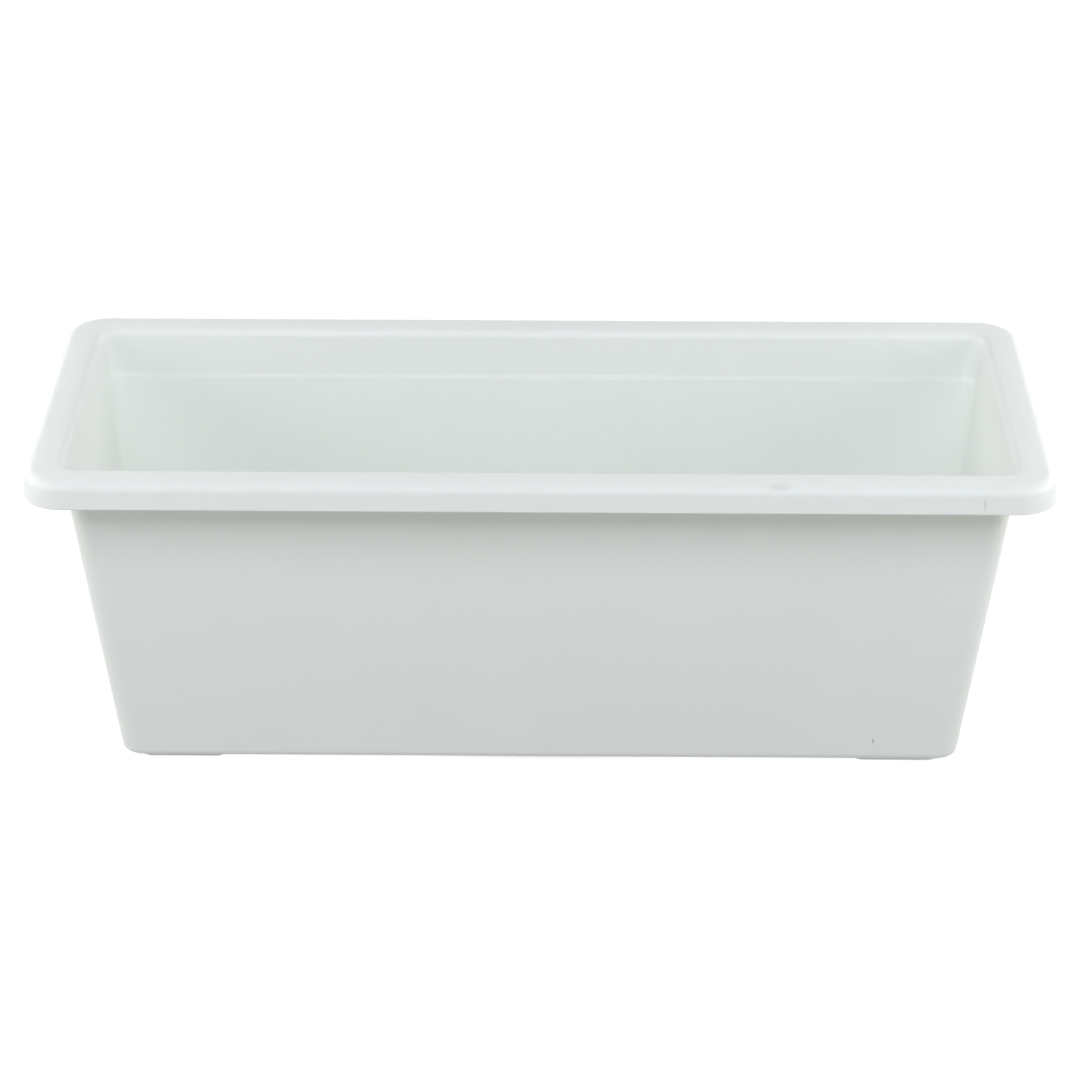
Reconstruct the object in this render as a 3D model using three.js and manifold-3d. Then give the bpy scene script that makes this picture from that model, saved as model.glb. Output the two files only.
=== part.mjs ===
// Window box planter: an injection-moulded trough with a turned-down rim, which stands on four low pads
// moulded under its floor, and the push-in plugs of its drain holes, which lift out upwards.
// Millimetres, +Z up. The origin is on the ground under the middle of the box, and X runs along the box.
import * as THREE from "three";
import { mergeVertices } from "three/addons/utils/BufferGeometryUtils.js";
import Module from "manifold-3d";

const wasm = await Module();
wasm.setup();

// ---------------------------------------------------------------- driving dimensions

// The trough.
const boxLength = 610; // over the skirt's lower edge, its widest place
const boxWidth = 241; // over the same edge
const boxHeight = 216; // ground to the top of the rim
const wallThickness = 2;
const floorThickness = 3;
const endDraft = THREE.MathUtils.degToRad(6.1); // how far the short walls lean out
const sideDraft = THREE.MathUtils.degToRad(6.6); // how far the long walls lean out
const wallCornerRadius = 10.4; // inside the upright corners
const floorFilletRadius = 4; // inside, where the walls meet the floor
const baseEdgeRadius = 6; // outside, round the bottom of the walls

// The turned-down rim.
const rimFlatWidth = 18.6; // the skirt's lower edge to where the rim's top starts to roll into the trough
const rimRollRadius = 5.2; // the roll from the rim's top into the walls
const rimEdgeRadius = 4.7; // the rim's outer edge, between its top and its skirt
const rimCornerRadius = 25; // the skirt's corners, seen from above
const skirtDepth = 16.2; // the rim's top to the skirt's lower edge
const skirtFlare = THREE.MathUtils.degToRad(7); // how far the skirt leans out towards its lower edge

// The fine ledge moulded along the inside of both long walls. It fades out round the corners.
const ledgeDrop = 30.1; // the rim's top to the ledge
const ledgeStep = 0.8; // how far the wall below it stands in
const ledgeRise = 1.2; // over which height it does so

// The corner pads that the box stands on.
const padLength = 52;
const padWidth = 40;
const padHeight = 1.5;
const padCornerRadius = 6;
const padEndInset = 12.4; // the end of the base to a pad
const padSideInset = 4; // the side of the base to a pad

// The drain holes, each with a shallow round seat for a plug's head.
const drainColumns = 3;
const drainPadDistance = 37; // a pad's inner end to the nearest hole's centre, along the box
const drainRowSpacing = 65; // the front row's centres to the back row's
const drainHoleRadius = 8;
const seatLedgeWidth = 4; // the flat round a hole that a head sits on
const seatDepth = 1.2;

// A drain plug: a round head with a finger bar on it, and a short hollow stem that tapers to its tip.
const headClearance = 0.8; // round the head, in its seat
const headLift = 0.3; // between the head and its seat
const headThickness = 2;
const headEdgeRadius = 0.7;
const stemClearance = 0.3; // round the stem, in its hole
const stemTaper = 0.35; // how much narrower the tip's radius is
const stemWall = 1.6;
const tipGroundClearance = 0.6; // the ground to the stem's tip
const barLength = 13;
const barWidth = 3;
const barHeight = 3.6; // above the head
const barCornerRadius = 1.2;

// Fineness of the curves.
const cornerSteps = 8;
const arcSteps = 6;
const edgeSteps = 3;
const turnSteps = 28;

// ---------------------------------------------------------------- sizes that follow from them

const meanDraft = (endDraft + sideDraft) / 2; // for curves that run on into all four walls
const floorUnderside = padHeight;
const floorTop = floorUnderside + floorThickness;
const seatHeight = floorTop - seatDepth;
const seatRadius = drainHoleRadius + seatLedgeWidth;
const ledgeHeight = boxHeight - ledgeDrop;
const baseHalfLength = boxLength / 2 - faceOffset(floorUnderside, endDraft, wallThickness);
const baseHalfWidth = boxWidth / 2 - faceOffset(floorUnderside, sideDraft, wallThickness);

// How far a wall's face lies in from the skirt's lower edge, at a height. Depth is how far that face lies
// behind the inner one: zero, or the wall's thickness for the outer face.
function faceOffset(z, draft, depth) {
  const rollEndOffset = rimFlatWidth + rimRollRadius * Math.cos(draft);
  const rollEndHeight = boxHeight - rimRollRadius * (1 - Math.sin(draft));
  return rollEndOffset + (rollEndHeight - z) * Math.tan(draft) - depth / Math.cos(draft);
}

// ---------------------------------------------------------------- shapes

// The four corners of anything that is the same left and right, front and back.
const fourCorners = [[1, 1], [-1, 1], [-1, -1], [1, -1]];

// The angles of an arc, both ends included.
function anglesBetween(from, to, steps) {
  return Array.from({ length: steps + 1 }, (_, i) => THREE.MathUtils.lerp(from, to, i / steps));
}

// A rounded rectangle as points, counter-clockwise from above.
function roundedRectangle(halfLength, halfWidth, radius) {
  return fourCorners.flatMap(([sx, sy], quarter) => {
    const start = (quarter * Math.PI) / 2;
    return anglesBetween(start, start + Math.PI / 2, cornerSteps).map((angle) => new THREE.Vector2(
      sx * (halfLength - radius) + radius * Math.cos(angle),
      sy * (halfWidth - radius) + radius * Math.sin(angle),
    ));
  });
}

// A closed skin over rings of one rounded rectangle each, with a flat cap on the first and the last ring. The
// first cap faces up, so the rings run up over the upper face and come back down over the lower one.
function skinOverRings(rings) {
  const outlines = rings.map(({ halfLength, halfWidth, radius }) => (
    roundedRectangle(halfLength, halfWidth, radius)
  ));
  const around = outlines[0].length;
  const lastRing = rings.length - 1;
  const positions = [0, 0, rings[0].z];
  outlines.forEach((outline, i) => outline.forEach(({ x, y }) => positions.push(x, y, rings[i].z)));
  positions.push(0, 0, rings[lastRing].z);

  const firstCentre = 0;
  const lastCentre = 1 + rings.length * around;
  const vertex = (ringIndex, step) => 1 + ringIndex * around + (step % around);
  const faces = [];
  for (let step = 0; step < around; step++) {
    faces.push(firstCentre, vertex(0, step), vertex(0, step + 1));
    for (let i = 0; i < lastRing; i++) {
      faces.push(vertex(i, step), vertex(i + 1, step), vertex(i + 1, step + 1));
      faces.push(vertex(i, step), vertex(i + 1, step + 1), vertex(i, step + 1));
    }
    faces.push(lastCentre, vertex(lastRing, step + 1), vertex(lastRing, step));
  }
  const skin = new THREE.BufferGeometry();
  skin.setAttribute("position", new THREE.Float32BufferAttribute(positions, 3));
  skin.setIndex(faces);
  return skin;
}

// A turned piece with its axis upright, from [radius, height] pairs that run from the axis at its foot, round
// the outside, to the axis at its top.
function turned(profile) {
  const points = profile.map(([radius, height]) => new THREE.Vector2(radius, height));
  return new THREE.LatheGeometry(points, turnSteps).rotateX(Math.PI / 2);
}

// A flat plate with a rounded-rectangle outline, between two heights.
function plate(halfLength, halfWidth, radius, low, high) {
  const outline = new THREE.Shape(roundedRectangle(halfLength, halfWidth, radius));
  return new THREE.ExtrudeGeometry(outline, { depth: high - low, bevelEnabled: false }).translate(0, 0, low);
}

// A geometry as a solid that can be cut and joined.
function solidOf(geometry) {
  const bare = geometry.clone();
  bare.deleteAttribute("normal");
  bare.deleteAttribute("uv");
  const merged = mergeVertices(bare);
  return new wasm.Manifold(new wasm.Mesh({
    numProp: 3,
    vertProperties: new Float32Array(merged.attributes.position.array),
    triVerts: new Uint32Array(merged.index.array),
  }));
}

// And back again.
function geometryOf(solid) {
  const { vertProperties, triVerts } = solid.getMesh();
  const geometry = new THREE.BufferGeometry();
  geometry.setAttribute("position", new THREE.BufferAttribute(vertProperties, 3));
  geometry.setIndex(new THREE.BufferAttribute(triVerts, 1));
  geometry.computeVertexNormals();
  return geometry;
}

// ---------------------------------------------------------------- the trough

// A ring of the trough's skin, placed by how far it lies in from the skirt's lower edge.
function ring(z, endOffset, sideOffset, radius) {
  return { z, halfLength: boxLength / 2 - endOffset, halfWidth: boxWidth / 2 - sideOffset, radius };
}

// A ring on a face of the walls. The long walls can stand further in.
function wallRing(z, depth, sideInset) {
  const sideOffset = faceOffset(z, sideDraft, depth) + sideInset;
  return ring(z, faceOffset(z, endDraft, depth), sideOffset, wallCornerRadius + depth);
}

// The curve at the foot of a face of the walls, from a flat at a height up into the wall.
function footRings(z, arcRadius, depth, sideInset) {
  const centreHeight = z + arcRadius;
  const centreOffset = (draft) => faceOffset(centreHeight, draft, depth) + arcRadius / Math.cos(draft);
  return anglesBetween(1.5 * Math.PI, Math.PI + meanDraft, arcSteps).map((angle) => {
    const reach = arcRadius * Math.cos(angle);
    return ring(
      centreHeight + arcRadius * Math.sin(angle),
      centreOffset(endDraft) + reach,
      centreOffset(sideDraft) + sideInset + reach,
      wallCornerRadius + depth,
    );
  });
}

// The rim: the roll out of the walls, the flat top, the outer edge and the skirt. Seen from above, its
// corners open out from the walls' small radius to the rim's large one.
function rimRings(depth) {
  const rollEnd = rimFlatWidth + rimRollRadius - depth;
  const cornerRadius = (offset) => THREE.MathUtils.mapLinear(
    THREE.MathUtils.clamp(offset, depth, rollEnd),
    depth, rollEnd, rimCornerRadius - depth, wallCornerRadius + depth,
  );
  const evenRing = (z, offset) => ring(z, offset, offset, cornerRadius(offset));
  const arc = (centreOffset, edgeRadius, from, to) => anglesBetween(from, to, arcSteps).map((angle) => (
    evenRing(
      boxHeight - edgeRadius + (edgeRadius - depth) * Math.sin(angle),
      centreOffset + (edgeRadius - depth) * Math.cos(angle),
    )
  ));
  const skirtDrop = skirtDepth - rimEdgeRadius * (1 - Math.sin(skirtFlare));
  const edgeCentreOffset = skirtDrop * Math.tan(skirtFlare) + rimEdgeRadius * Math.cos(skirtFlare);
  return [
    ...arc(rimFlatWidth, rimRollRadius, meanDraft, Math.PI / 2),
    ...arc(edgeCentreOffset, rimEdgeRadius, Math.PI / 2, Math.PI - skirtFlare),
    evenRing(boxHeight - skirtDepth, depth / Math.cos(skirtFlare)),
  ];
}

// The whole moulding's skin, without its pads and holes.
function troughSkin() {
  const upperFace = [
    ...footRings(floorTop, floorFilletRadius, 0, ledgeStep),
    wallRing(ledgeHeight - ledgeRise, 0, ledgeStep),
    wallRing(ledgeHeight, 0, 0),
    ...rimRings(0),
  ];
  const lowerFace = [
    ...footRings(floorUnderside, baseEdgeRadius, wallThickness, 0),
    ...rimRings(wallThickness),
  ];
  return skinOverRings([...upperFace, ...lowerFace.reverse()]);
}

// The four pads, from the ground up into the floor.
function cornerPads() {
  const halfLength = padLength / 2;
  const halfWidth = padWidth / 2;
  const x = baseHalfLength - padEndInset - halfLength;
  const y = baseHalfWidth - padSideInset - halfWidth;
  const pad = plate(halfLength, halfWidth, padCornerRadius, 0, floorUnderside + floorThickness / 2);
  return fourCorners.map(([sx, sy]) => pad.clone().translate(sx * x, sy * y, 0));
}

// Where the drain holes are: a row in front and a row behind the middle, each spread evenly between the pads.
function drainPlaces() {
  const outerX = baseHalfLength - padEndInset - padLength - drainPadDistance;
  const rowY = drainRowSpacing / 2;
  return [-rowY, rowY].flatMap((y) => Array.from({ length: drainColumns }, (_, column) => (
    new THREE.Vector2(THREE.MathUtils.mapLinear(column, 0, drainColumns - 1, -outerX, outerX), y)
  )));
}

// What is taken out of the floor for a plug: its hole, with its seat above.
function drainCut() {
  const below = floorUnderside - floorThickness;
  const above = floorTop + floorThickness;
  return turned([
    [0, below],
    [drainHoleRadius, below],
    [drainHoleRadius, seatHeight],
    [seatRadius, seatHeight],
    [seatRadius, above],
    [0, above],
  ]);
}

function troughGeometry() {
  const cut = drainCut();
  const padded = cornerPads().reduce((trough, pad) => trough.add(solidOf(pad)), solidOf(troughSkin()));
  const drained = drainPlaces().reduce(
    (trough, { x, y }) => trough.subtract(solidOf(cut.clone().translate(x, y, 0))),
    padded,
  );
  return geometryOf(drained);
}

// ---------------------------------------------------------------- a drain plug

// How high a seated plug's head starts. In the plug's own frame that is height zero.
const headHeight = seatHeight + headLift;

function plugGeometry() {
  const headRadius = seatRadius - headClearance;
  const stemRadius = drainHoleRadius - stemClearance;
  const tipRadius = stemRadius - stemTaper;
  const stemLength = headHeight - tipGroundClearance;
  const headEdge = anglesBetween(0, Math.PI / 2, edgeSteps).map((angle) => [
    headRadius - headEdgeRadius * (1 - Math.cos(angle)),
    headThickness - headEdgeRadius * (1 - Math.sin(angle)),
  ]);
  const body = turned([
    [0, 0],
    [tipRadius - stemWall, 0],
    [tipRadius - stemWall, -stemLength],
    [tipRadius, -stemLength],
    [stemRadius, 0],
    [headRadius, 0],
    ...headEdge,
    [0, headThickness],
  ]);
  const bar = plate(
    barLength / 2, barWidth / 2, barCornerRadius,
    headThickness / 2, headThickness + barHeight,
  );
  return geometryOf(solidOf(body).add(solidOf(bar)));
}

// ---------------------------------------------------------------- assembly

// Slightly cool white polypropylene, and a softer, duller grade for the plugs.
function plastic(color, roughness) {
  return new THREE.MeshStandardMaterial({ color, roughness, metalness: 0 });
}
const troughPlastic = plastic(0xe9ecea, 0.42);
const plugPlastic = plastic(0xdcdfdd, 0.55);

function part(name, geometry, material) {
  const mesh = new THREE.Mesh(geometry, material);
  mesh.name = name;
  return mesh;
}

const windowBox = new THREE.Group();
windowBox.add(part("planter_trough", troughGeometry(), troughPlastic));

drainPlaces().forEach(({ x, y }, i) => {
  const plug = part(`drain_plug_${i + 1}`, plugGeometry(), plugPlastic.clone());
  plug.position.set(x, y, headHeight);
  windowBox.add(plug);
});

export default windowBox;
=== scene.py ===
"""A white window box planter: one moulded trough and the six plugs that lift out of its drain holes.

The trough has leaning walls, a flat floor, a rim that rolls over into a short flared skirt, a fine ledge
inside its long walls and four low pads under its floor. Sizes are in millimetres and angles in degrees, as on a
drawing, and meshes are in metres. +Z is up, X runs along the box, and the origin is on the ground under the
middle of the box.
"""

import logging
import math
from dataclasses import dataclass, field
from enum import Enum
from typing import Any, Iterable, Mapping, Optional, Sequence

import bpy
import numpy as np
from mathutils import Matrix, Vector
from mathutils.geometry import delaunay_2d_cdt


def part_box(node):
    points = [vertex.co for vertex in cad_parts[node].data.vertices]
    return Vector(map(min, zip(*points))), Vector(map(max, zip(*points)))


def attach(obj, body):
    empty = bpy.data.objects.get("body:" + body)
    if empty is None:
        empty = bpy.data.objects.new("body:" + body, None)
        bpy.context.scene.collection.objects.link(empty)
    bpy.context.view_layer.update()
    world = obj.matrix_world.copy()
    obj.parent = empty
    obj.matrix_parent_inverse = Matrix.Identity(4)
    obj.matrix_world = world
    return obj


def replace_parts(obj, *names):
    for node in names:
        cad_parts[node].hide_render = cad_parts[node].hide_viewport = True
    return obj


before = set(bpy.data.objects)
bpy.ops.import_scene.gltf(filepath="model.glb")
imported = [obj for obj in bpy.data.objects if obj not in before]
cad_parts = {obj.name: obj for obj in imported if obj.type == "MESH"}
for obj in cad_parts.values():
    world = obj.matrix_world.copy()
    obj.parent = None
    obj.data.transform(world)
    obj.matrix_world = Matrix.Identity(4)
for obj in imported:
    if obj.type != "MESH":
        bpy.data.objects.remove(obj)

LOG = logging.getLogger("window_box")
MM = 0.001
WELD = 1e-7  # points closer than this, in metres, are one point
LOOSE_CLEARANCE = 4e-4  # how far a loose point stays from a hole, in metres
EDGE_TESTS = 16  # places along an edge where its distance from a hole is tested
CONVEX_HULL = 0  # the triangulation's output type that fills everything inside the outermost points
SHORT_LINE_SHARE = 0.25  # the most of a short line that the margin beside an arc takes
EDGE_RUN = 3  # a fine edge has this many radii of flat beside it, and a margin of its radius over this
PLUG_COUNT = 6
WHITE = "#FFFFFF"

Spot = tuple[float, float]
Point = tuple[float, float, float]


class Slot(Enum):
    """The finishes that the record names."""

    TROUGH = "trough_plastic"
    PLUG = "plug_plastic"


# ---------------------------------------------------------------- surfaces


@dataclass(frozen=True)
class Patch:
    """A stretch of surface: its points in metres, and its faces as rows of four point numbers.

    A face that is a triangle, once points that coincide are welded, still has four numbers here.
    """

    points: np.ndarray
    faces: np.ndarray


@dataclass(frozen=True)
class Outline:
    """The way round a rounded rectangle, counter-clockwise from above, before its size is known.

    A point of it is corner times the half size less the radius, plus turn times the radius. Corner runs from
    -1 to 1 along the straight sides and stands still round a corner, and turn is a unit vector that turns
    round a corner and stands still along the sides.
    """

    corner: np.ndarray
    turn: np.ndarray


def outline(corner_steps: int, long_steps: int = 0, short_steps: int = 0, margin: float = 0.003) -> Outline:
    """Lays out the points round a rounded rectangle.

    Args:
        corner_steps: Faces round each quarter circle.
        long_steps: Faces between the margins along each side that runs in X. Zero leaves one face.
        short_steps: The same for each side that runs in Y.
        margin: The share of a side's half that the narrow face at each of its ends takes.

    Returns:
        The outline.
    """
    corners = np.array([[1, 1], [-1, 1], [-1, -1], [1, -1]], float)
    corner_rows, turn_rows = [], []
    for quarter, here in enumerate(corners):
        after = corners[(quarter + 1) % 4]
        angle = (quarter + np.linspace(0, 1, corner_steps + 1)) * math.pi / 2
        corner_rows.append(np.tile(here, (len(angle), 1)))
        turn_rows.append(np.column_stack([np.cos(angle), np.sin(angle)]))
        steps = long_steps if quarter % 2 == 0 else short_steps
        if steps:
            share = np.linspace(margin / 2, 1 - margin / 2, steps + 1)[:, None]
            corner_rows.append(here + share * (after - here))
            turn_rows.append(np.tile(turn_rows[-1][-1], (steps + 1, 1)))
    return Outline(np.concatenate(corner_rows), np.concatenate(turn_rows))


def swept(
    path: Outline,
    half_length: np.ndarray,
    half_width: np.ndarray,
    radius: np.ndarray,
    height: np.ndarray,
    centre: Spot = (0.0, 0.0),
) -> np.ndarray:
    """Carries a section round an outline: one row of points for each place on the section.

    Every point is the centre, plus corner times (half size - radius), plus turn times radius, at its height.

    Args:
        path: The outline.
        half_length: Half the rounded rectangle's size in X for each place on the section, in millimetres.
        half_width: Half its size in Y.
        radius: Its corners' radius.
        height: Its height, or an array of heights with one column for each point of the outline.
        centre: The middle of the rounded rectangles, in millimetres.

    Returns:
        Rows of points, in metres. The surface that joins them faces up where the section runs outwards over a
        flat, and outwards where the section runs down.
    """
    half = np.stack([half_length, half_width], axis=-1)[:, None, :] - radius[:, None, None]
    flat = path.corner * half + path.turn * radius[:, None, None] + np.array(centre)
    heights = height if height.ndim == 2 else height[:, None]
    upright = np.broadcast_to(heights, flat.shape[:2])[..., None]
    return np.concatenate([flat, upright], axis=-1) * MM


def turned(radius: np.ndarray, height: np.ndarray, centre: Spot, steps: int) -> np.ndarray:
    """Turns a section about an upright axis: x and y are the centre plus radius times cosine and sine.

    Args:
        radius: The distance from the axis for each place on the section, in millimetres.
        height: The height of each place.
        centre: Where the axis stands.
        steps: Faces round the axis.

    Returns:
        Rows of points, in metres. A radius of zero closes the surface at a pole.
    """
    angle = np.arange(steps) * 2 * math.pi / steps
    x = centre[0] + radius[:, None] * np.cos(angle)
    y = centre[1] + radius[:, None] * np.sin(angle)
    z = np.broadcast_to(height[:, None], x.shape)
    return np.stack([x, y, z], axis=-1) * MM


def grid_patch(rows: np.ndarray) -> Patch:
    """Joins rows of points into faces, with the last point of each row joined to the first.

    Args:
        rows: An array of rows, points and coordinates, in metres.

    Returns:
        The surface, four-sided throughout.
    """
    count, around, _ = rows.shape
    number = np.arange(count * around).reshape(count, around)
    low, high = number[:-1], number[1:]
    faces = np.stack([low, high, np.roll(high, -1, 1), np.roll(low, -1, 1)], axis=-1)
    return Patch(rows.reshape(-1, 3), faces.reshape(-1, 4))


def filled(
    rim: np.ndarray, holes: Sequence[np.ndarray], facing_up: bool, loose: Optional[np.ndarray] = None
) -> Patch:
    """Fills the space between a convex rim and the holes in it with triangles, as seen from above.

    A constrained Delaunay triangulation gives all triangles inside the rim, and those whose middle lies inside
    a hole are dropped. Each point keeps its own height. Each closed row of loose points keeps its own edges, so
    that no triangle spans three rows, apart from the edges that come close to a hole.

    Args:
        rim: The points round the outside, in metres.
        holes: The points round each convex hole, in metres, counter-clockwise from above.
        facing_up: Whether the surface faces up rather than down.
        loose: Rows of more points that the surface passes through. Those in or close to a hole are left out.

    Returns:
        The filled surface, on the same points.
    """
    loops = [distinct(loop) for loop in (rim, *holes)]
    starts = np.cumsum([0] + [len(loop) for loop in loops])
    edges = np.concatenate([
        np.column_stack([start + np.arange(len(loop)), start + np.roll(np.arange(len(loop)), -1)])
        for start, loop in zip(starts, loops)
    ])
    points = np.concatenate(loops)
    if loose is not None:
        along = loose + np.linspace(0, 1, EDGE_TESTS)[:, None, None, None] * (np.roll(loose, -1, 1) - loose)
        near = np.zeros(along.shape[:3], bool)
        for hole in loops[1:]:
            near |= within(along.reshape(-1, 3), hole, LOOSE_CLEARANCE).reshape(near.shape)
        kept = ~near[0]
        joins = ~near.any(axis=0) & kept & np.roll(kept, -1, 1)
        number = len(points) + np.cumsum(kept).reshape(kept.shape) - 1
        edges = np.concatenate([edges, np.column_stack([number[joins], np.roll(number, -1, 1)[joins]])])
        points = np.concatenate([points, loose[kept]])
    flat = [Vector(point) for point in points[:, :2]]
    found = delaunay_2d_cdt(flat, edges.tolist(), [], CONVEX_HULL, WELD / 10)
    place = points[[sources[0] for sources in found[3]]]
    faces = np.array(found[2])
    for hole in loops[1:]:
        faces = faces[~within(place[faces].mean(axis=1), hole, 0.0)]
    one, other = place[faces[:, 1]] - place[faces[:, 0]], place[faces[:, 2]] - place[faces[:, 0]]
    up = one[:, 0] * other[:, 1] - one[:, 1] * other[:, 0] > 0
    faces = np.where((up == facing_up)[:, None], faces, faces[:, ::-1])
    return Patch(place, np.column_stack([faces, faces[:, 2]]))


def within(points: np.ndarray, loop: np.ndarray, clearance: float) -> np.ndarray:
    """Tells which points lie inside a convex loop, seen from above, or within a clearance outside it.

    A point is inside where its distance to the left of every edge is more than nothing.

    Args:
        points: The points, in metres.
        loop: The loop, counter-clockwise.
        clearance: The clearance, in metres.

    Returns:
        One truth value for each point.
    """
    side = (np.roll(loop, -1, 0) - loop)[:, :2]
    side = side / np.linalg.norm(side, axis=1)[:, None]
    away = points[:, None, :2] - loop[:, :2]
    left = side[:, 0] * away[..., 1] - side[:, 1] * away[..., 0]
    return np.all(left > -clearance, axis=1)


def distinct(loop: np.ndarray) -> np.ndarray:
    """Drops each point of a closed loop that coincides with the next one.

    Args:
        loop: The loop's points, in metres.

    Returns:
        The points that are left.
    """
    gap = np.linalg.norm(loop - np.roll(loop, -1, 0), axis=1)
    return loop[gap > WELD]


def joined(patches: Iterable[Patch]) -> Patch:
    """Welds stretches of surface into one where their points coincide.

    Args:
        patches: The stretches, whose shared edges hold the same points.

    Returns:
        One surface. Faces that a pole or a weld has closed up to a line are gone.
    """
    parts = list(patches)
    points = np.concatenate([p.points for p in parts])
    starts = np.cumsum([0] + [len(p.points) for p in parts[:-1]])
    faces = np.concatenate([p.faces + start for p, start in zip(parts, starts)])
    rounded = np.round(points / WELD).astype(np.int64)
    _, first, number = np.unique(rounded, axis=0, return_index=True, return_inverse=True)
    faces = number.reshape(-1)[faces]
    different = 1 + (np.diff(np.sort(faces, axis=1), axis=1) > 0).sum(axis=1)
    faces = faces[different > 2]
    used, renumbered = np.unique(faces, return_inverse=True)
    return Patch(points[first][used], renumbered.reshape(faces.shape))


def mesh_object(name: str, surface: Patch) -> bpy.types.Object:
    """Makes a smooth-shaded object of a surface, at the origin.

    Args:
        name: The object's name.
        surface: Its surface.

    Returns:
        The object, in the scene.
    """
    faces = [list(dict.fromkeys(face)) for face in surface.faces.tolist()]
    mesh = bpy.data.meshes.new(name)
    mesh.from_pydata(surface.points.tolist(), [], faces)
    mesh.validate()
    mesh.shade_smooth()
    made = bpy.data.objects.new(name, mesh)
    bpy.context.scene.collection.objects.link(made)
    return made


@dataclass(frozen=True)
class Knee:
    """A corner of a section: its offset and height, the radius that rounds it, and the faces round it."""

    offset: float
    height: float
    radius: float = 0.0
    steps: int = 6


def rounded_section(knees: Sequence[Knee], spacing: float = 14.0, margin: float = 0.35) -> np.ndarray:
    """Follows straight lines from knee to knee, and rounds each knee with an arc that touches both lines.

    With unit vectors to the knee before and the knee after, the arc starts at the radius over the tangent of
    half the angle between them, and its centre lies on the line that halves that angle.

    Args:
        knees: The corners, of which the first and the last aren't rounded.
        spacing: The longest stretch of a line without a point, in millimetres.
        margin: The short stretch that each line has next to an arc, so that shading stays flat between arcs.

    Returns:
        Points as rows of offset, height and place, where place counts knees and shares of the way between.
    """
    places = np.array([(k.offset, k.height) for k in knees])
    arcs = [places[:1]]
    for number in range(1, len(knees) - 1):
        knee = knees[number]
        back = places[number - 1] - places[number]
        ahead = places[number + 1] - places[number]
        back, ahead = back / np.linalg.norm(back), ahead / np.linalg.norm(ahead)
        half = math.acos(float(np.clip(back @ ahead, -1, 1))) / 2
        middle = back + ahead
        middle = middle / np.linalg.norm(middle)
        centre = places[number] + middle * knee.radius / math.sin(half)
        start = places[number] + back * knee.radius / math.tan(half) - centre
        end = places[number] + ahead * knee.radius / math.tan(half) - centre
        sweep = math.pi - 2 * half
        share = np.linspace(0, 1, knee.steps + 1)[:, None]
        spoke = (np.sin((1 - share) * sweep) * start + np.sin(share * sweep) * end) / math.sin(sweep)
        arcs.append(centre + spoke)
    arcs.append(places[-1:])
    rows = []
    for number, arc in enumerate(arcs):
        rows.append(np.column_stack([arc, np.full(len(arc), float(number))]))
        if number + 1 < len(arcs):
            start, end = arc[-1], arcs[number + 1][0]
            length = float(np.linalg.norm(end - start))
            near = min(margin / length, SHORT_LINE_SHARE)
            inner = np.linspace(near, 1 - near, max(2, 1 + math.ceil(length * (1 - 2 * near) / spacing)))
            line = start + inner[:, None] * (end - start)
            rows.append(np.column_stack([line, number + inner]))
    return np.concatenate(rows)


# ---------------------------------------------------------------- finishes


def linear(colour: str) -> tuple[float, float, float, float]:
    """Turns an sRGB hex colour into linear red, green, blue and alpha.

    A share of 255 goes over 12.92 in the darkest tones, and otherwise, with 0.055 more and over 1.055, to the
    power 2.4. That is sRGB's own curve.

    Args:
        colour: Six hex digits after a hash.

    Returns:
        The colour that a shader's socket takes.
    """
    shares = [int(colour[i:i + 2], 16) / 255 for i in (1, 3, 5)]
    red, green, blue = (s / 12.92 if s <= 0.04045 else ((s + 0.055) / 1.055) ** 2.4 for s in shares)
    return red, green, blue, 1.0


def add_node(
    tree: bpy.types.NodeTree,
    kind: str,
    settings: Optional[Mapping[str, Any]] = None,
    inputs: Optional[Mapping[Any, Any]] = None,
) -> bpy.types.Node:
    """Adds a node with its settings and its inputs.

    Args:
        tree: The node tree.
        kind: The node's Blender type.
        settings: Properties of the node, by name.
        inputs: Values or output sockets for its inputs, by name or number.

    Returns:
        The node.
    """
    made = tree.nodes.new(kind)
    for name, value in (settings or {}).items():
        setattr(made, name, value)
    for name, value in (inputs or {}).items():
        if isinstance(value, bpy.types.NodeSocket):
            tree.links.new(value, made.inputs[name])
        else:
            made.inputs[name].default_value = value
    return made


@dataclass(frozen=True)
class Mark:
    """A small mark that handling left on the plastic: an oval patch of another tone, softer at its edge."""

    name: str
    place: Point  # millimetres
    reach: Point  # how far it reaches along X, Y and Z, in millimetres
    tone: str
    strength: float
    core: float = 0.35  # the share of its reach within which it has its full strength


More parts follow.
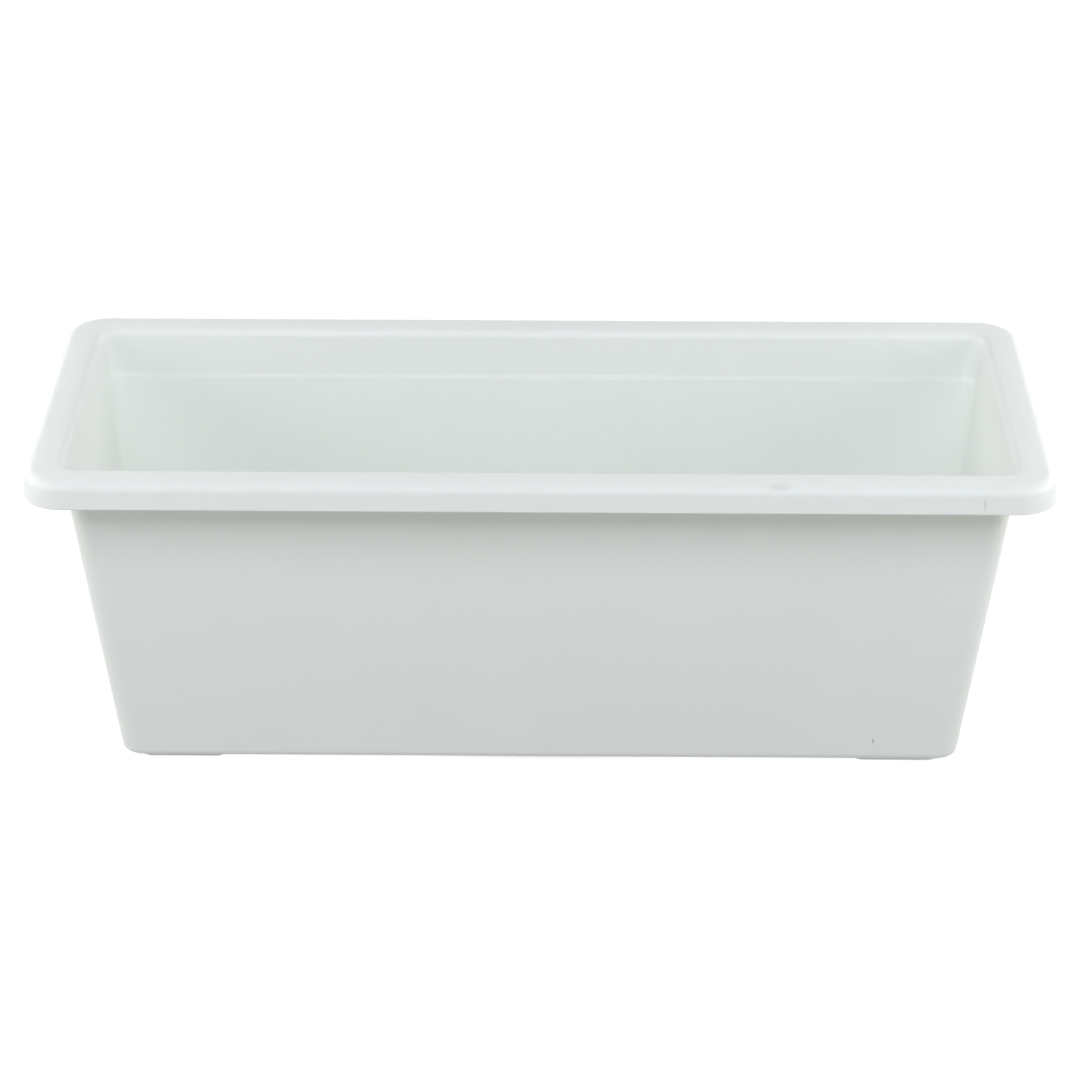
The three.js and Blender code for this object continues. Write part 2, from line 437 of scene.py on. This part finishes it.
@dataclass(frozen=True)
class MouldedPlastic:
    """Injection-moulded polyolefin with a fine spark-eroded grain.

    The eye gets a soft, waxy white with a broad dull sheen, a faint grain that breaks the highlights up, slow
    changes of tone where the melt flowed, and faces that are flat but never quite true.
    """

    name: str
    colour: str
    flow_colour: str  # the tone that the flow pattern leads to
    roughness: float
    roughness_spread: float
    grain_height: float  # millimetres
    grain_size: float = 1.3  # millimetres: a real grain of 0.1 is drawn coarser, so that it still shows
    flow_size: float = 90.0  # millimetres, as are the wave's two sizes
    flow_span: Spot = (0.3, 0.7)  # the flow pattern's values between which the roughness goes up
    wave_size: float = 160.0
    wave_height: float = 0.12
    refraction: float = 1.49
    gloss: float = 0.2  # how much the surface mirrors: a grained moulding mirrors less than a polished one
    glow: float = 0.5  # the share of the light that goes into the plastic and scatters there
    glow_depth: float = 2.2  # how far light goes before it scatters out, in millimetres
    glow_shares: Point = (1.0, 1.0, 0.9)  # how far red, green and blue go of that depth
    marks: tuple[Mark, ...] = ()

    def material(self) -> bpy.types.Material:
        """Makes the Blender material.

        Returns:
            The material, whose patterns read Object coordinates, which are metres on this part.
        """
        made = bpy.data.materials.new(self.name)
        made.use_nodes = True
        tree = made.node_tree
        tree.nodes.clear()
        place = add_node(tree, "ShaderNodeTexCoord").outputs["Object"]
        flow, grain, wave = (
            add_node(
                tree, "ShaderNodeTexNoise", None,
                {"Vector": place, "Scale": 1 / (size * MM), "Detail": octaves, "Roughness": fading},
            ).outputs["Fac"]
            for size, octaves, fading in (
                (self.flow_size, 3.0, 0.55),
                (self.grain_size, 2.0, 0.6),
                (self.wave_size, 1.0, 0.4),
            )
        )
        tone = add_node(
            tree, "ShaderNodeMix", {"data_type": "RGBA"},
            {"Factor": flow, 6: linear(self.colour), 7: linear(self.flow_colour)},
        ).outputs[2]
        for mark in self.marks:
            tone = self._marked(tree, place, tone, mark)
        sheen = add_node(
            tree, "ShaderNodeMapRange", None,
            {
                "Value": flow,
                "From Min": self.flow_span[0],
                "From Max": self.flow_span[1],
                "To Min": self.roughness - self.roughness_spread,
                "To Max": self.roughness + self.roughness_spread,
            },
        )
        waves = add_node(
            tree, "ShaderNodeBump", None,
            {"Strength": 1.0, "Distance": self.wave_height * MM, "Height": wave},
        )
        bump = add_node(
            tree, "ShaderNodeBump", None,
            {
                "Strength": 1.0,
                "Distance": self.grain_height * MM,
                "Height": grain,
                "Normal": waves.outputs["Normal"],
            },
        )
        shader = add_node(
            tree, "ShaderNodeBsdfPrincipled", None,
            {
                "Base Color": tone,
                "Roughness": sheen.outputs["Result"],
                "IOR": self.refraction,
                "Specular IOR Level": self.gloss,
                "Normal": bump.outputs["Normal"],
                "Subsurface Weight": self.glow,
                "Subsurface Radius": self.glow_shares,
                "Subsurface Scale": self.glow_depth * MM,
            },
        )
        add_node(tree, "ShaderNodeOutputMaterial", None, {"Surface": shader.outputs["BSDF"]})
        return made

    @staticmethod
    def _marked(
        tree: bpy.types.NodeTree, place: bpy.types.NodeSocket, tone: bpy.types.NodeSocket, mark: Mark
    ) -> bpy.types.NodeSocket:
        """Lays one mark over a tone: its share is full in its core and falls to nothing at its reach.

        Args:
            tree: The material's node tree.
            place: Object coordinates.
            tone: The colour below.
            mark: The mark.

        Returns:
            The colour with the mark on it.
        """
        away = add_node(
            tree, "ShaderNodeVectorMath", {"operation": "SUBTRACT"},
            {0: place, 1: tuple(v * MM for v in mark.place)},
        )
        scaled = add_node(
            tree, "ShaderNodeVectorMath", {"operation": "DIVIDE"},
            {0: away.outputs["Vector"], 1: tuple(v * MM for v in mark.reach)},
        )
        far = add_node(tree, "ShaderNodeVectorMath", {"operation": "LENGTH"}, {0: scaled.outputs["Vector"]})
        share = add_node(
            tree, "ShaderNodeMapRange", {"interpolation_type": "SMOOTHSTEP"},
            {
                "Value": far.outputs["Value"],
                "From Min": 1.0,
                "From Max": mark.core,
                "To Min": 0.0,
                "To Max": mark.strength,
            },
        )
        return add_node(
            tree, "ShaderNodeMix", {"data_type": "RGBA", "label": mark.name},
            {"Factor": share.outputs["Result"], 6: tone, 7: linear(mark.tone)},
        ).outputs[2]


# ---------------------------------------------------------------- the trough


@dataclass
class DrainHole:
    """A round hole through the floor, with a shallow seat above it for a plug's head."""

    centre: Spot
    hole_radius: float = 8.0
    seat_radius: float = 12.0
    seat_depth: float = 1.2
    edge_radius: float = 0.35
    steps: int = 56

    def rows(self, floor_top: float, underside: float) -> np.ndarray:
        """Works out the hole's walls and seat.

        The section starts on the underside, goes in and up through the hole, and out over the seat.

        Args:
            floor_top: The height of the floor's upper face.
            underside: The height of its lower face.

        Returns:
            Rows of points, of which the first and the last lie in the floor's two faces.
        """
        edge = self.edge_radius
        seat_height = floor_top - self.seat_depth
        section = rounded_section([
            Knee(self.hole_radius + EDGE_RUN * edge, underside),
            Knee(self.hole_radius, underside, edge, steps=4),
            Knee(self.hole_radius, seat_height, edge, steps=4),
            Knee(self.seat_radius, seat_height, edge, steps=4),
            Knee(self.seat_radius, floor_top, edge, steps=4),
            Knee(self.seat_radius + EDGE_RUN * edge, floor_top),
        ], margin=edge / EDGE_RUN)
        return turned(section[:, 0], section[:, 1], self.centre, self.steps)


@dataclass
class Trough:
    """The moulded trough, from its solid's sizes, with the soft crown of its rim and its softer edges.

    Offsets are measured in from the skirt's lower edge, which is the box's widest place.
    """

    length: float = 610.0
    width: float = 241.0
    height: float = 216.0
    wall: float = 2.0
    floor: float = 3.0
    end_draft: float = 6.1
    side_draft: float = 6.6
    wall_corner_radius: float = 10.4
    floor_fillet: float = 4.0
    base_edge_radius: float = 6.0
    rim_flat: float = 18.6
    rim_roll_radius: float = 5.2
    rim_edge_radius: float = 6.0
    rim_crown_angle: float = 4.0
    rim_crown_radius: float = 74.0
    rim_crown_clearance: float = 0.01
    rim_corner_radius: float = 25.0
    skirt_depth: float = 16.2
    skirt_flare: float = 7.0
    lip_radius: float = 0.55
    ledge_drop: float = 28.8
    ledge_step: float = 0.6
    end_ledge_step: float = 1e-3  # the end walls have no ledge to speak of
    ledge_rise: float = 3.0
    ledge_radius: float = 3.5
    flat_run: float = 2.0  # the flat that the section has beside the floor's fillet and the base's edge
    pad_length: float = 52.0
    pad_width: float = 40.0
    pad_height: float = 1.5
    pad_corner_radius: float = 6.0
    pad_end_inset: float = 12.4
    pad_side_inset: float = 4.0
    pad_edge_radius: float = 0.35
    gate_radius: float = 7.0
    gate_depth: float = 0.5
    gate_taper: float = 0.4
    gate_edge_radius: float = 0.2
    gate_flat: float = 1.0
    gate_margin: float = 0.06
    gate_steps: int = 40
    nub_radius: float = 1.8
    nub_taper: float = 0.2
    nub_foot_radius: float = 0.15
    nub_edge_radius: float = 0.1
    nub_recess: float = 0.1  # how far the nub stays above the underside
    holes: list[DrainHole] = field(default_factory=list)
    # The eye gets a clean white with a satin sheen, a hair greyer where the melt flowed slowly.
    finish: MouldedPlastic = MouldedPlastic(
        name="moulded_white_polypropylene",
        colour="#F4F7F3",
        flow_colour="#F1F4EF",
        roughness=0.4,
        roughness_spread=0.03,
        grain_height=0.012,
        marks=(
            Mark("nick_low_on_the_front", (207.4, -76.3, 17.4), (0.9, 4.0, 2.8), "#8F918D", 0.5),
            Mark("scuff_on_the_rim", (140.4, -115.0, 214.5), (11.0, 4.0, 3.0), "#C4C7C3", 0.22),
            Mark("hairline_on_the_skirt", (260.0, -119.6, 206.0), (0.6, 3.0, 5.5), "#A9ABA7", 0.4),
        ),
    )

    @property
    def underside(self) -> float:
        """The height of the floor's lower face."""
        return self.pad_height

    @property
    def floor_top(self) -> float:
        """The height of the floor's upper face."""
        return self.underside + self.floor

    def face_offset(self, height: float, draft: float, depth: float) -> float:
        """Says how far in a wall's face lies at a height.

        Args:
            height: The height.
            draft: The wall's lean, in radians.
            depth: How far the face lies behind the inner one, across the wall.

        Returns:
            The offset: from where the rim's roll ends, the line of the wall goes in by the tangent of its lean.
        """
        roll_end = self.rim_flat + self.rim_roll_radius * math.cos(draft)
        roll_height = self.height - self.rim_roll_radius * (1 - math.sin(draft))
        return roll_end + (roll_height - height) * math.tan(draft) - depth / math.cos(draft)

    def section(self, draft_degrees: float, ledge_step: float) -> np.ndarray:
        """Follows the moulding's section from the floor over the rim to the underside.

        The rim's top is two lines that fall away from its middle by the crown's angle, under a wide arc.
        Their knee lies above the top by the arc's radius over the cosine of the angle, less the radius. The
        crown stays a hair below the solid's top.

        Args:
            draft_degrees: The wall's lean.
            ledge_step: How far in the wall stands below the ledge.

        Returns:
            Points as rows of offset, height and place along the knees.
        """
        draft, flare = math.radians(draft_degrees), math.radians(self.skirt_flare)
        ledge = self.height - self.ledge_drop
        ledge_foot = ledge - self.ledge_rise
        lip = self.height - self.skirt_depth
        lean = math.tan(flare)
        skirt_wall = self.wall / math.cos(flare)
        inner_foot = self.face_offset(self.floor_top, draft, 0) + ledge_step
        outer_foot = self.face_offset(self.underside, draft, self.wall)
        below_rim = self.height - self.wall
        crown = math.radians(self.rim_crown_angle)
        inner_top, outer_top = self.face_offset(self.height, draft, 0), self.skirt_depth * lean
        crown_rise = self.rim_crown_radius * (1 / math.cos(crown) - 1)
        crown_knee = self.height - self.rim_crown_clearance + crown_rise
        side_knee = crown_knee - (inner_top - outer_top) / 2 * math.tan(crown)
        return rounded_section([
            Knee(inner_foot + self.floor_fillet + self.flat_run, self.floor_top),
            Knee(inner_foot, self.floor_top, self.floor_fillet, steps=8),
            Knee(self.face_offset(ledge_foot, draft, 0) + ledge_step, ledge_foot, self.ledge_radius, steps=5),
            Knee(self.face_offset(ledge, draft, 0), ledge, self.ledge_radius, steps=5),
            Knee(self.face_offset(side_knee, draft, 0), side_knee, self.rim_roll_radius, steps=12),
            Knee((inner_top + outer_top) / 2, crown_knee, self.rim_crown_radius, steps=8),
            Knee((side_knee - lip) * lean, side_knee, self.rim_edge_radius, steps=12),
            Knee(0, lip, self.lip_radius, steps=5),
            Knee(skirt_wall, lip, self.lip_radius, steps=5),
            Knee(skirt_wall + (below_rim - lip) * lean, below_rim, self.rim_edge_radius - self.wall),
            Knee(self.face_offset(below_rim, draft, self.wall), below_rim, self.rim_roll_radius - self.wall),
            Knee(outer_foot, self.underside, self.base_edge_radius, steps=10),
            Knee(outer_foot + self.base_edge_radius + self.flat_run, self.underside),
        ])

    def shell(self, path: Outline) -> np.ndarray:
        """Carries the section round the box.

        The end walls' section and the long walls' section have a point each for every row. Round a corner the
        height goes from one to the other with the square of the turn's X, and the corner's radius goes evenly
        with the offset, from the wall's small one to the rim's large one.

        Args:
            path: The outline to carry it round.

        Returns:
            Rows of points, from the floor's upper face over the rim to its lower face.
        """
        end = self.section(self.end_draft, self.end_ledge_step)
        side = self.section(self.side_draft, self.ledge_step)
        lip_start, lip_end = 7.0, 8.0  # the knees at the two edges of the skirt's lower lip
        depth = np.clip(end[:, 2] - lip_start, 0, lip_end - lip_start) * self.wall
        roll_end = self.rim_flat + self.rim_roll_radius - depth
        share = np.clip((end[:, 0] - depth) / (roll_end - depth), 0, 1)
        radius = (1 - share) * (self.rim_corner_radius - depth) + share * (self.wall_corner_radius + depth)
        toward_end = path.turn[:, 0] ** 2
        height = end[:, 1, None] * toward_end + side[:, 1, None] * (1 - toward_end)
        return swept(path, self.length / 2 - end[:, 0], self.width / 2 - side[:, 0], radius, height)

    def pad(self, centre: Spot) -> np.ndarray:
        """Works out one pad's side, from the floor's lower face in to its edge, down, and in over its face.

        Where the pad reaches past the floor's flat onto the rounded foot of the wall, its first rows rise with
        the foot: by the radius, less the root of the radius squared less the distance past the flat squared.

        Args:
            centre: The middle of the pad.

        Returns:
            Rows of points, of which the last lies in the pad's face.
        """
        edge = self.pad_edge_radius
        section = rounded_section([
            Knee(EDGE_RUN * edge, self.underside),
            Knee(0, self.underside, edge, steps=4),
            Knee(0, 0, edge, steps=4),
            Knee(-EDGE_RUN * edge, 0),
        ], margin=edge / EDGE_RUN)
        grow, height = section[:, 0], section[:, 1]
        rows = swept(
            outline(corner_steps=8),
            self.pad_length / 2 + grow,
            self.pad_width / 2 + grow,
            self.pad_corner_radius + grow,
            height,
            centre,
        )
        radius = self.base_edge_radius
        side_draft = math.radians(self.side_draft)
        foot = self.face_offset(self.underside, side_draft, self.wall)
        flat_half = self.width / 2 - foot - radius * math.tan((math.pi / 2 - side_draft) / 2)
        past = np.clip(np.abs(rows[..., 1]) / MM - flat_half, 0, radius)
        rise = radius - np.sqrt(radius**2 - past**2)
        rows[..., 2] += rise * MM * (height / self.underside)[:, None]
        return rows

    def gate(self) -> np.ndarray:
        """Works out the mark of the mould's gate: a dimple in the middle of the underside, with a low nub.

        Returns:
            Rows of points, from the underside into the dimple and over the nub to its middle.
        """
        top = self.underside + self.gate_depth
        nub_face = self.underside + self.nub_recess
        section = rounded_section([
            Knee(self.gate_radius + self.gate_flat, self.underside),
            Knee(self.gate_radius, self.underside, self.gate_edge_radius, steps=3),
            Knee(self.gate_radius - self.gate_taper, top, self.gate_edge_radius, steps=3),
            Knee(self.nub_radius + self.nub_taper, top, self.nub_foot_radius, steps=3),
            Knee(self.nub_radius, nub_face, self.nub_edge_radius, steps=3),
            Knee(0, nub_face),
        ], margin=self.gate_margin)
        return turned(section[:, 0], section[:, 1], (0, 0), self.gate_steps)

    def build(self) -> bpy.types.Object:
        """Builds the trough.

        Returns:
            The trough's object.
        """
        rows = self.shell(outline(corner_steps=18, long_steps=40, short_steps=14))
        base_x = self.length / 2 - self.face_offset(self.underside, math.radians(self.end_draft), self.wall)
        base_y = self.width / 2 - self.face_offset(self.underside, math.radians(self.side_draft), self.wall)
        pad_x = base_x - self.pad_end_inset - self.pad_length / 2
        pad_y = base_y - self.pad_side_inset - self.pad_width / 2
        pads = [self.pad((sx * pad_x, sy * pad_y)) for sx in (1, -1) for sy in (1, -1)]
        drains = [hole.rows(self.floor_top, self.underside) for hole in self.holes]
        gate = self.gate()
        pad_reach = max(pad[0, :, 1].max() for pad in pads) + 2 * LOOSE_CLEARANCE
        beyond = int(np.flatnonzero(rows[:, :, 1].max(axis=1) > pad_reach)[-1])
        floor_top = filled(rows[0], [drain[-1] for drain in drains], facing_up=True)
        below = filled(
            rows[beyond],
            [gate[0], *(loop[0] for loop in (*drains, *pads))],
            facing_up=False,
            loose=rows[beyond + 1:],
        )
        pad_faces = [filled(pad[-1], [], facing_up=False) for pad in pads]
        grids = [grid_patch(grid) for grid in (rows[:beyond + 1], gate, *drains, *pads)]
        surface = joined([floor_top, below, *pad_faces, *grids])
        made = mesh_object("trough_moulding", surface)
        made.data.materials.append(self.finish.material())
        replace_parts(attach(made, "trough"), "planter_trough")
        return made


# ---------------------------------------------------------------- the drain plugs


@dataclass
class DrainPlug:
    """A push-in plug: a round head with a finger bar across it, and a short hollow stem."""

    number: int
    centre: Spot
    tip_height: float
    stem_length: float = 3.0
    stem_radius: float = 7.7
    stem_taper: float = 0.35
    stem_wall: float = 1.6
    bore_roof: float = 0.2  # how far the stem's bore goes up into the head
    head_radius: float = 11.2
    head_thickness: float = 2.0
    head_edge_radius: float = 0.7
    head_edge_flat: float = 2.2  # the flat of the head inside its edge
    bar_length: float = 13.0
    bar_width: float = 3.0
    bar_height: float = 3.6
    bar_corner_radius: float = 1.2
    bar_edge_radius: float = 0.6
    bar_taper: float = 0.1
    bar_core: float = 0.05  # half the width of the strip along the bar's top
    bar_core_radius: float = 0.04
    bar_foot: float = 1.4  # the flat of the head beside the bar
    bar_margin: float = 0.1
    fine_radius: float = 0.25
    fine_margin: float = 0.08

    def surface(self) -> Patch:
        """Builds the plug from the top of its bar out over the head, down round it, and up into the stem.

        The bar's section is carried round a rounded rectangle, which opens out into a circle across the flat
        of the head: a rounded rectangle whose half sizes are both its radius is a circle.

        Returns:
            The plug's closed surface.
        """
        low = self.tip_height + self.stem_length
        top = low + self.head_thickness
        bar_top = top + self.bar_height
        half = self.bar_width / 2
        bar = rounded_section([
            Knee(-half + self.bar_core, bar_top),
            Knee(0, bar_top, self.bar_edge_radius, steps=5),
            Knee(self.bar_taper, top, self.bar_edge_radius, steps=5),
            Knee(self.bar_foot, top),
        ], margin=self.bar_margin)
        bar_radius = np.maximum(self.bar_corner_radius + bar[:, 0], self.bar_core_radius)
        tip = self.stem_radius - self.stem_taper
        bore = tip - self.stem_wall
        fine = self.fine_radius
        body = rounded_section([
            Knee(self.head_radius - self.head_edge_flat, top),
            Knee(self.head_radius, top, self.head_edge_radius),
            Knee(self.head_radius, low, fine, steps=3),
            Knee(self.stem_radius, low, fine, steps=3),
            Knee(tip, self.tip_height, fine, steps=3),
            Knee(bore, self.tip_height, fine, steps=3),
            Knee(bore, low + self.bore_roof, fine, steps=3),
            Knee(0, low + self.bore_roof),
        ], margin=self.fine_margin)
        reach = body[:, 0]
        return joined([grid_patch(swept(
            outline(corner_steps=16),
            np.concatenate([[0.0], self.bar_length / 2 + bar[:, 0], reach]),
            np.concatenate([[0.0], half + bar[:, 0], reach]),
            np.concatenate([[0.0], bar_radius, reach]),
            np.concatenate([[bar_top], bar[:, 1], body[:, 1]]),
            self.centre,
        ))])

    def build(self, material: bpy.types.Material) -> bpy.types.Object:
        """Builds the plug.

        Args:
            material: The plugs' plastic.

        Returns:
            The plug's object, which moves with its body.
        """
        made = mesh_object(f"plug_{self.number}", self.surface())
        made.data.materials.append(material)
        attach(made, f"plug_{self.number}")
        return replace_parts(made, f"drain_plug_{self.number}")


# ---------------------------------------------------------------- the studio


@dataclass(frozen=True)
class Softbox:
    """A rectangular lamp behind cloth, which shines from its place towards a point, all in metres."""

    name: str
    place: Point
    toward: Point
    size: Spot
    power: float  # watts
    colour: str = WHITE

    def build(self) -> None:
        """Makes the lamp, which the camera doesn't see."""
        lamp = bpy.data.lights.new(self.name, "AREA")
        lamp.shape = "RECTANGLE"
        lamp.size, lamp.size_y = self.size
        lamp.energy = self.power
        lamp.color = linear(self.colour)[:3]
        made = bpy.data.objects.new(self.name, lamp)
        bpy.context.scene.collection.objects.link(made)
        way = Vector(self.toward) - Vector(self.place)
        facing = way.to_track_quat("-Z", "Y").to_matrix().to_4x4()
        made.matrix_world = Matrix.Translation(self.place) @ facing
        made.visible_camera = False


@dataclass(frozen=True)
class Studio:
    """A lit white table under soft lamps."""

    half_floor: float = 6.0  # metres
    table_colour: str = "#898885"
    table_glow: float = 0.3  # what the table gives off as a light
    shadow_share: float = 0.12
    near_glow: float = 0.93  # how bright the table looks under the box, where 1 is white
    glow_reach: Spot = (0.5, 1.4)  # metres, from where the table looks whiter to where it is white
    painted_shadow_oval: Spot = (0.262, 0.0735)  # metres, half the oval under the box's base whose glow is dimmed as a painted shadow
    painted_shadow_core: float = 0.85  # the share of that oval that the painted shadow darkens all over
    painted_shadow_glow: float = 0.5  # how bright the painted shadow leaves the table there, as an open drain hole shows it
    ambient: float = 0.1
    ambient_colour: str = "#FCFFF6"
    lamps: tuple[Softbox, ...] = (
        Softbox("front_softbox", (0.0, -1.4, 1.8), (0.0, 0.0, 0.1), (1.6, 1.0), 26.8, "#F1F5FF"),
        Softbox("left_softbox", (-1.3, 0.0, 0.55), (-0.2, 0.0, 0.15), (0.8, 0.6), 5.0),
        Softbox("right_softbox", (1.3, 0.0, 0.55), (0.2, 0.0, 0.15), (0.8, 0.6), 5.0),
        Softbox("front_left_softbox", (-1.1, -0.7, 0.55), (-0.1, 0.0, 0.15), (0.6, 0.6), 2.0),
        Softbox("front_right_softbox", (1.1, -0.7, 0.55), (0.1, 0.0, 0.15), (0.6, 0.6), 2.0),
        Softbox("back_left_softbox", (-1.1, 0.7, 0.7), (0.0, 0.0, 0.15), (0.6, 0.6), 4.2),
        Softbox("back_right_softbox", (1.1, 0.7, 0.7), (0.0, 0.0, 0.15), (0.6, 0.6), 4.2),
    )

    def build(self) -> None:
        """Makes the floor, the world and the lamps, and has colours shown as they are."""
        bpy.context.scene.view_settings.view_transform = "Standard"
        self._floor()
        self._world()
        for lamp in self.lamps:
            lamp.build()

    def _floor(self) -> None:
        """Makes the floor.

        It is three triangles, because a seam under the box would show in the light on its underside.
        """
        side = self.half_floor
        corners = [(-side, -side, 0), (side, -side, 0), (side, side, 0), (0, side, 0), (-side, side, 0)]
        mesh = bpy.data.meshes.new("floor")
        mesh.from_pydata(corners, [], [(0, 1, 3), (1, 2, 3), (0, 3, 4)])
        mesh.materials.append(self._table())
        floor = bpy.data.objects.new("floor", mesh)
        bpy.context.scene.collection.objects.link(floor)

    def _table(self) -> bpy.types.Material:
        """Makes the floor's material: a lit table to soft light, and a white ground with shadows to the eye.

        Its lower face is clear, so that the underside can be looked at from below.

        Returns:
            The material.
        """
        made = bpy.data.materials.new("lit_white_table")
        made.use_nodes = True
        tree = made.node_tree
        tree.nodes.clear()
        sheet = add_node(tree, "ShaderNodeBsdfDiffuse", None, {"Color": linear(self.table_colour)})
        lit = add_node(tree, "ShaderNodeEmission", None, {"Strength": self.table_glow})
        table = add_node(
            tree, "ShaderNodeAddShader", None, {0: sheet.outputs["BSDF"], 1: lit.outputs["Emission"]},
        )
        share = self.shadow_share
        shadow = add_node(tree, "ShaderNodeBsdfDiffuse", None, {"Color": (share, share, share, 1.0)})
        glow = add_node(tree, "ShaderNodeEmission", None, {"Strength": self._ground_glow(tree)})
        ground = add_node(
            tree, "ShaderNodeAddShader", None, {0: shadow.outputs["BSDF"], 1: glow.outputs["Emission"]},
        )
        mixed = add_node(
            tree, "ShaderNodeMixShader", None,
            {"Fac": self._seen(tree), 1: table.outputs["Shader"], 2: ground.outputs["Shader"]},
        )
        clear = add_node(tree, "ShaderNodeBsdfTransparent")
        below = add_node(tree, "ShaderNodeNewGeometry").outputs["Backfacing"]
        one_sided = add_node(
            tree, "ShaderNodeMixShader", None,
            {"Fac": below, 1: mixed.outputs["Shader"], 2: clear.outputs["BSDF"]},
        )
        add_node(tree, "ShaderNodeOutputMaterial", None, {"Surface": one_sided.outputs["Shader"]})
        return made

    def _ground_glow(self, tree: bpy.types.NodeTree) -> bpy.types.NodeSocket:
        """Works out how bright the ground looks, where 1 is white.

        It grows with the distance from the box to plain white, and is dimmed in the oval under the box as a
        painted shadow.

        Args:
            tree: The floor material's node tree.

        Returns:
            The strength of its glow.
        """
        place = add_node(tree, "ShaderNodeTexCoord").outputs["Object"]
        oval = add_node(
            tree, "ShaderNodeVectorMath", {"operation": "DIVIDE"}, {0: place, 1: (*self.painted_shadow_oval, 1.0)},
        ).outputs["Vector"]
        # The second map paints a shadow under the box, dimming the ground's glow in the oval there.
        whiter, painted_under_box = (
            add_node(
                tree, "ShaderNodeMapRange", {"interpolation_type": "SMOOTHSTEP"},
                {
                    "Value": add_node(
                        tree, "ShaderNodeVectorMath", {"operation": "LENGTH"}, {"Vector": vector},
                    ).outputs["Value"],
                    "From Min": start,
                    "From Max": end,
                    "To Min": least,
                    "To Max": 1.0,
                },
            ).outputs["Result"]
            for vector, start, end, least in (
                (place, *self.glow_reach, self.near_glow),
                (oval, self.painted_shadow_core, 1.0, self.painted_shadow_glow),
            )
        )
        return add_node(
            tree, "ShaderNodeMath", {"operation": "MULTIPLY"}, {0: whiter, 1: painted_under_box},
        ).outputs["Value"]

    def _world(self) -> None:
        """Makes the surroundings: white where they are seen or mirrored, and dimmer as a light."""
        world = bpy.data.worlds.new("studio")
        bpy.context.scene.world = world
        world.use_nodes = True
        tree = world.node_tree
        tree.nodes.clear()
        light = add_node(
            tree, "ShaderNodeBackground", None,
            {"Color": linear(self.ambient_colour), "Strength": self.ambient},
        )
        white = add_node(tree, "ShaderNodeBackground", None, {"Color": linear(WHITE), "Strength": 1.0})
        mixed = add_node(
            tree, "ShaderNodeMixShader", None,
            {"Fac": self._seen(tree), 1: light.outputs["Background"], 2: white.outputs["Background"]},
        )
        add_node(tree, "ShaderNodeOutputWorld", None, {"Surface": mixed.outputs["Shader"]})

    @staticmethod
    def _seen(tree: bpy.types.NodeTree) -> bpy.types.NodeSocket:
        """Gives 1 for the camera's own rays and for mirrored and refracted ones, and 0 for soft light.

        Args:
            tree: The node tree.

        Returns:
            The greatest of the three kinds' outputs of Light Path.
        """
        path = add_node(tree, "ShaderNodeLightPath")
        mirrored = add_node(
            tree, "ShaderNodeMath", {"operation": "MAXIMUM"},
            {0: path.outputs["Is Glossy Ray"], 1: path.outputs["Is Transmission Ray"]},
        )
        return add_node(
            tree, "ShaderNodeMath", {"operation": "MAXIMUM"},
            {0: path.outputs["Is Camera Ray"], 1: mirrored.outputs["Value"]},
        ).outputs["Value"]


@dataclass(frozen=True)
class ProductCamera:
    """A long lens that looks down on the front of the box."""

    target: Point = (-0.385, 0.0, 116.892)  # millimetres
    distance: float = 2065.0
    elevation: float = 28.354
    turn: float = 0.468
    roll: float = 0.1
    lens: float = 109.604
    sensor: float = 36.0
    clip: Spot = (0.05, 100.0)  # metres

    def build(self) -> None:
        """Makes the camera: it looks at the target from a distance, turned and rolled by small angles."""
        data = bpy.data.cameras.new("product_camera")
        data.lens, data.sensor_width = self.lens, self.sensor
        data.clip_start, data.clip_end = self.clip
        camera = bpy.data.objects.new("product_camera", data)
        bpy.context.scene.collection.objects.link(camera)
        facing = (
            Matrix.Rotation(math.radians(self.turn), 4, "Z")
            @ Matrix.Rotation(math.radians(90 - self.elevation), 4, "X")
            @ Matrix.Rotation(math.radians(self.roll), 4, "Z")
        )
        back = facing.to_3x3() @ Vector((0, 0, self.distance * MM))
        camera.matrix_world = Matrix.Translation(Vector(self.target) * MM + back) @ facing
        bpy.context.scene.camera = camera


# ---------------------------------------------------------------- assembly


# The eye gets a duller and greyer white than the trough's, as soft polyethylene has, and a deeper, finer grain.
PLUG_PLASTIC = MouldedPlastic(
    name="moulded_soft_polyethylene",
    colour="#DCDFDD",
    flow_colour="#D6D9D5",
    roughness=0.52,
    roughness_spread=0.04,
    grain_height=0.02,
    grain_size=0.8,
    flow_size=12.0,
    refraction=1.51,
)


def plug_places() -> dict[int, Point]:
    """Reads where the plugs stand from their solids.

    Returns:
        For each plug's number its middle in X and Y, and the height of its tip, in millimetres.
    """
    places = {}
    for number in range(1, PLUG_COUNT + 1):
        low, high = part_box(f"drain_plug_{number}")
        middle = (low + high) / 2 / MM
        places[number] = (middle.x, middle.y, low.z / MM)
    return places


def main() -> None:
    """Builds the part and its studio."""
    logging.basicConfig(level=logging.INFO, format="%(message)s")
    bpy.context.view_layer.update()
    places = plug_places()
    pieces = [Trough(holes=[DrainHole((x, y)) for x, y, _ in places.values()]).build()]
    plug_plastic = PLUG_PLASTIC.material()
    for number, (x, y, tip) in places.items():
        pieces.append(DrainPlug(number, (x, y), tip).build(plug_plastic))
    for piece in pieces:
        LOG.info("%s: %d points, %d faces", piece.name, len(piece.data.vertices), len(piece.data.polygons))
    Studio().build()
    ProductCamera().build()


if __name__ == "__main__":
    main()
